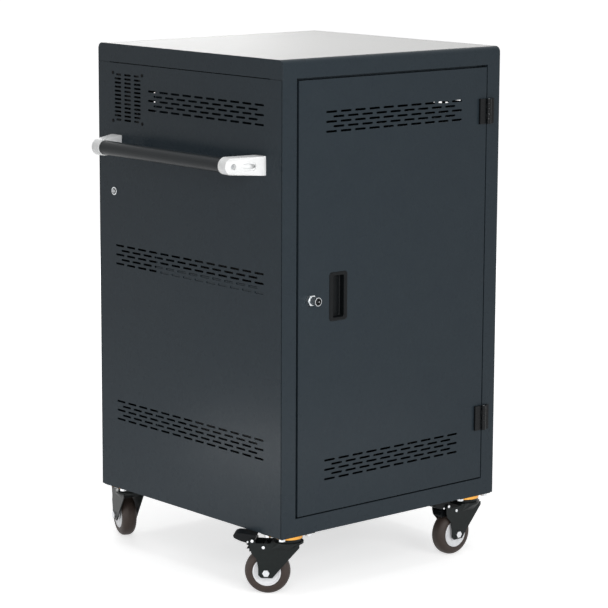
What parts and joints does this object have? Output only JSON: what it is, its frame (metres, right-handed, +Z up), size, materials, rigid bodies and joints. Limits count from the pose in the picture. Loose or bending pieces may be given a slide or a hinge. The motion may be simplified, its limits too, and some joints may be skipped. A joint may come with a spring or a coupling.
{
  "type": "laptop charging cart",
  "caption": "Upright steel charging cabinet on swivel casters, with a locking front door, vented sides, a push handle, inner bays, a rear service door and a fan.",
  "frame": {"origin": "bottom centre of the box round the whole part at rest, on the floor", "axes": "+Z up, the front door faces -Y, the push handle is on the -X side"},
  "size_m": [0.7064, 0.7082, 1.133],
  "materials": {
    "powder_coat": "satin powder coat",
    "worktop": "satin",
    "divider_plastic": "satin",
    "black_plastic": "satin",
    "black_metal": "satin",
    "white_plastic": "semi-gloss",
    "core_plastic": "semi-gloss",
    "bright_zinc": "bright zinc plate",
    "lock_chrome": "polished",
    "yellow_zinc": "yellow zinc plate",
    "black_steel": "satin black",
    "pedal_plastic": "satin",
    "tyre_rubber": "matte"
  },
  "bodies": {
    "cabinet": {"base_pan": "powder_coat", "corner_posts": "powder_coat", "front_frame": "powder_coat", "rear_frame": "powder_coat", "left_panel": "powder_coat", "right_panel": "powder_coat", "top_lid": "powder_coat", "worktop": "worktop", "lower_tray": "powder_coat", "upper_tray": "powder_coat", "lower_dividers": "divider_plastic", "upper_dividers": "divider_plastic", "rear_partition": "powder_coat", "adapter_shelves": "powder_coat", "socket_strips": "black_plastic", "control_box": "powder_coat", "mains_inlet": "black_plastic", "fan_housing": "black_plastic", "fan_screws": "black_metal", "handle_tube": "powder_coat", "handle_brackets": "white_plastic", "handle_screws": "bright_zinc", "frame_hinge_leaves": "black_metal", "hinge_pins": "black_metal", "side_lock_barrel": "lock_chrome", "caster_plates": "yellow_zinc", "caster_bolts": "bright_zinc"},
    "front_door": {"front_door_pan": "powder_coat", "front_pull": "black_plastic", "front_lock_barrel": "lock_chrome", "front_door_leaves": "black_metal"},
    "front_lock": {"front_lock_plug": "lock_chrome", "front_lock_cam": "bright_zinc"},
    "rear_door": {"rear_door_pan": "powder_coat", "rear_pull": "black_plastic", "rear_door_leaves": "black_metal", "rear_strike": "powder_coat"},
    "side_lock": {"side_lock_plug": "lock_chrome", "side_lock_cam": "bright_zinc"},
    "fan": {"fan_rotor": "black_plastic"},
    "switch": {"power_rocker": "black_plastic"},
    "swivel_front_left": {"fork_front_left": "black_steel", "pins_front_left": "bright_zinc"},
    "wheel_front_left": {"core_front_left": "core_plastic", "tyre_front_left": "tyre_rubber"},
    "brake_front_left": {"pedal_front_left": "pedal_plastic"},
    "swivel_front_right": {"fork_front_right": "black_steel", "pins_front_right": "bright_zinc"},
    "wheel_front_right": {"core_front_right": "core_plastic", "tyre_front_right": "tyre_rubber"},
    "brake_front_right": {"pedal_front_right": "pedal_plastic"},
    "swivel_rear_left": {"fork_rear_left": "black_steel", "pins_rear_left": "bright_zinc"},
    "wheel_rear_left": {"core_rear_left": "core_plastic", "tyre_rear_left": "tyre_rubber"},
    "swivel_rear_right": {"fork_rear_right": "black_steel", "pins_rear_right": "bright_zinc"},
    "wheel_rear_right": {"core_rear_right": "core_plastic", "tyre_rear_right": "tyre_rubber"}
  },
  "joints": [
    {"name": "front_door_hinge", "type": "hinge", "parent": "cabinet", "child": "front_door", "pos_m": [0.31225, -0.33163, 0.633], "axis": [0, 0, 1], "range_deg": [0, 170]},
    {"name": "front_lock_turn", "type": "hinge", "parent": "front_door", "child": "front_lock", "pos_m": [-0.19625, -0.32513, 0.633], "axis": [0, 1, 0], "range_deg": [0, 90]},
    {"name": "rear_door_hinge", "type": "hinge", "parent": "cabinet", "child": "rear_door", "pos_m": [0.31225, 0.30937, 0.633], "axis": [0, 0, -1], "range_deg": [0, 170]},
    {"name": "side_lock_turn", "type": "hinge", "parent": "cabinet", "child": "side_lock", "pos_m": [-0.27125, 0.24687, 0.808], "axis": [-1, 0, 0], "range_deg": [0, 90]},
    {"name": "fan_spin", "type": "hinge", "parent": "cabinet", "child": "fan", "pos_m": [-0.25725, 0.19687, 1.017], "axis": [1, 0, 0], "continuous": true},
    {"name": "switch_rock", "type": "hinge", "parent": "cabinet", "child": "switch", "pos_m": [0.34375, 0.19287, 0.256], "axis": [0, -1, 0], "range_deg": [0, 20]},
    {"name": "swivel_front_left", "type": "hinge", "parent": "cabinet", "child": "swivel_front_left", "pos_m": [-0.22125, -0.28813, 0.123], "axis": [0, 0, 1], "continuous": true},
    {"name": "roll_front_left", "type": "hinge", "parent": "swivel_front_left", "child": "wheel_front_left", "pos_m": [-0.25036, -0.25581, 0.0485], "axis": [0.7431, 0.6691, 0], "continuous": true},
    {"name": "brake_front_left", "type": "hinge", "parent": "swivel_front_left", "child": "brake_front_left", "pos_m": [-0.27043, -0.23351, 0.1172], "axis": [-0.7431, -0.6691, 0], "range_deg": [0, 15]},
    {"name": "swivel_front_right", "type": "hinge", "parent": "cabinet", "child": "swivel_front_right", "pos_m": [0.30075, -0.28813, 0.123], "axis": [0, 0, 1], "continuous": true},
    {"name": "roll_front_right", "type": "hinge", "parent": "swivel_front_right", "child": "wheel_front_right", "pos_m": [0.25725, -0.28813, 0.0485], "axis": [0, 1, 0], "continuous": true},
    {"name": "brake_front_right", "type": "hinge", "parent": "swivel_front_right", "child": "brake_front_right", "pos_m": [0.22725, -0.28813, 0.1172], "axis": [0, -1, 0], "range_deg": [0, 15]},
    {"name": "swivel_rear_left", "type": "hinge", "parent": "cabinet", "child": "swivel_rear_left", "pos_m": [-0.22125, 0.26587, 0.123], "axis": [0, 0, 1], "continuous": true},
    {"name": "roll_rear_left", "type": "hinge", "parent": "swivel_rear_left", "child": "wheel_rear_left", "pos_m": [-0.20637, 0.30674, 0.0485], "axis": [0.9397, -0.342, 0], "continuous": true},
    {"name": "swivel_rear_right", "type": "hinge", "parent": "cabinet", "child": "swivel_rear_right", "pos_m": [0.30075, 0.26587, 0.123], "axis": [0, 0, 1], "continuous": true},
    {"name": "roll_rear_right", "type": "hinge", "parent": "swivel_rear_right", "child": "wheel_rear_right", "pos_m": [0.279, 0.30354, 0.0485], "axis": [0.866, 0.5, 0], "continuous": true}
  ]
}
